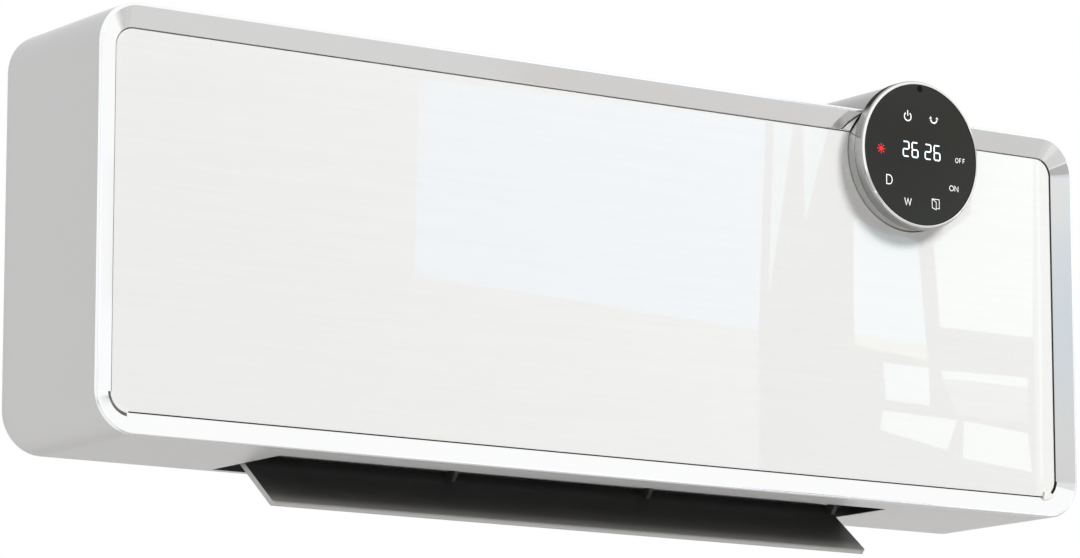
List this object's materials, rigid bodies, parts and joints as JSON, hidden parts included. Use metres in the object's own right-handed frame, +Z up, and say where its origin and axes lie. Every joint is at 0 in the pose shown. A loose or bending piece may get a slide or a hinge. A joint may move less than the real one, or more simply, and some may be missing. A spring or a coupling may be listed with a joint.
{
  "type": "bathroom wall fan heater",
  "caption": "Wall-hung bathroom fan heater: white housing, bevelled glass front, round touch display on a barrel, cross-flow fan, finned element and motor-driven outlet flap.",
  "frame": {"origin": "middle of the back cover's face, which lies on the wall", "axes": "+X along the front to the side with the round display, +Y out of the back into the wall, +Z up"},
  "size_m": [0.6051, 0.0968, 0.2463],
  "materials": {
    "housing_white": "satin moulded white",
    "frame_chrome": "polished",
    "clip_white": "moulded white",
    "glass_white": "gloss, white behind the glass",
    "carrier_grey": "moulded grey",
    "barrel_grey": "satin grey",
    "gasket_black": "matt black",
    "ring_chrome": "polished",
    "touch_black": "gloss black",
    "window_black": "dark tinted",
    "board_green": "solder-masked board",
    "display_dark": "moulded dark grey",
    "contact_brass": "bright",
    "ribbon_grey": "flat cable",
    "grille_white": "moulded white",
    "filter_mesh": "open mesh",
    "duct_grey": "moulded dark grey",
    "fan_aluminium": "formed strip",
    "steel_bright": "drawn",
    "motor_black": "black lacquer",
    "swing_motor_zinc": "zinc plated",
    "cap_black": "heat-proof black",
    "cutout_brown": "phenolic brown",
    "fuse_white": "glazed ceramic",
    "guard_dark": "dark lacquer",
    "flap_grey": "satin grey-white",
    "bush_black": "self-lubricating",
    "link_white": "moulded white",
    "relay_blue": "moulded blue",
    "supply_yellow": "taped coil",
    "filter_red": "dipped capacitor",
    "terminal_ivory": "moulded ivory",
    "lead_red": "insulated lead",
    "lead_brown": "insulated lead",
    "switch_black": "moulded black",
    "gland_black": "moulded black"
  },
  "bodies": {
    "housing": {"main_housing": "housing_white", "back_cover": "housing_white", "front_frame": "frame_chrome", "front_glass": "glass_white", "glass_carrier": "carrier_grey", "glass_clip": "clip_white", "pod_barrel": "barrel_grey", "pod_gasket": "gasket_black", "pod_ring": "ring_chrome", "touch_glass": "touch_black", "ir_window": "window_black", "display_board": "board_green", "digit_module": "display_dark", "touch_springs": "contact_brass", "ir_receiver": "window_black", "buzzer": "display_dark", "display_ribbon": "ribbon_grey", "inlet_grille": "grille_white", "dust_filter": "filter_mesh", "rear_scroll": "duct_grey", "front_scroll": "duct_grey", "left_end_plate": "duct_grey", "right_end_plate": "duct_grey", "fan_motor": "motor_black", "motor_bracket": "steel_bright", "shaft_bearing": "contact_brass", "heater_tubes": "fan_aluminium", "heater_fins": "fan_aluminium", "heater_end_caps": "cap_black", "heater_terminals": "contact_brass", "thermal_cutout": "cutout_brown", "thermal_fuse": "fuse_white", "outlet_guard": "guard_dark", "flap_bushes": "bush_black", "swing_motor": "swing_motor_zinc", "power_board": "board_green", "relays": "relay_blue", "power_supply": "supply_yellow", "noise_filter": "filter_red", "terminal_block": "terminal_ivory", "heater_leads": "lead_red", "motor_leads": "lead_brown", "switch_body": "switch_black", "cable_gland": "gland_black", "gland_nut": "gland_black", "room_sensor": "gland_black", "wall_bracket": "steel_bright", "cover_screws": "steel_bright", "front_screws": "steel_bright", "board_screws": "steel_bright"},
    "flap": {"outlet_flap": "flap_grey", "flap_rod": "steel_bright", "flap_crank": "link_white"},
    "swing_crank": {"motor_crank": "link_white"},
    "link": {"link_rod": "link_white"},
    "fan": {"fan_impeller": "fan_aluminium", "fan_shaft": "steel_bright"},
    "rocker": {"rocker": "switch_black"}
  },
  "joints": [
    {"name": "flap_swing", "type": "hinge", "parent": "housing", "child": "flap", "pos_m": [0, -0.0282, -0.096], "axis": [1, 0, 0], "range_deg": [-39, 31]},
    {"name": "crank_turn", "type": "hinge", "parent": "housing", "child": "swing_crank", "pos_m": [-0.1983, -0.0482, -0.069], "axis": [1, 0, 0], "range_deg": [-39, 31]},
    {"name": "rod_turn", "type": "hinge", "parent": "swing_crank", "child": "link", "pos_m": [-0.1951, -0.04356, -0.06128], "axis": [1, 0, 0], "range_deg": [-31, 39]},
    {"name": "fan_spin", "type": "hinge", "parent": "housing", "child": "fan", "pos_m": [0, -0.04, 0.012], "axis": [1, 0, 0], "continuous": true},
    {"name": "rocker_tilt", "type": "hinge", "parent": "housing", "child": "rocker", "pos_m": [0.3002, -0.046, -0.036], "axis": [0, 1, 0], "range_deg": [-18, 0]}
  ],
  "couplings": [
    {"joint": "crank_turn", "follows": "flap_swing", "ratio": 1},
    {"joint": "rod_turn", "follows": "flap_swing", "ratio": -1}
  ]
}
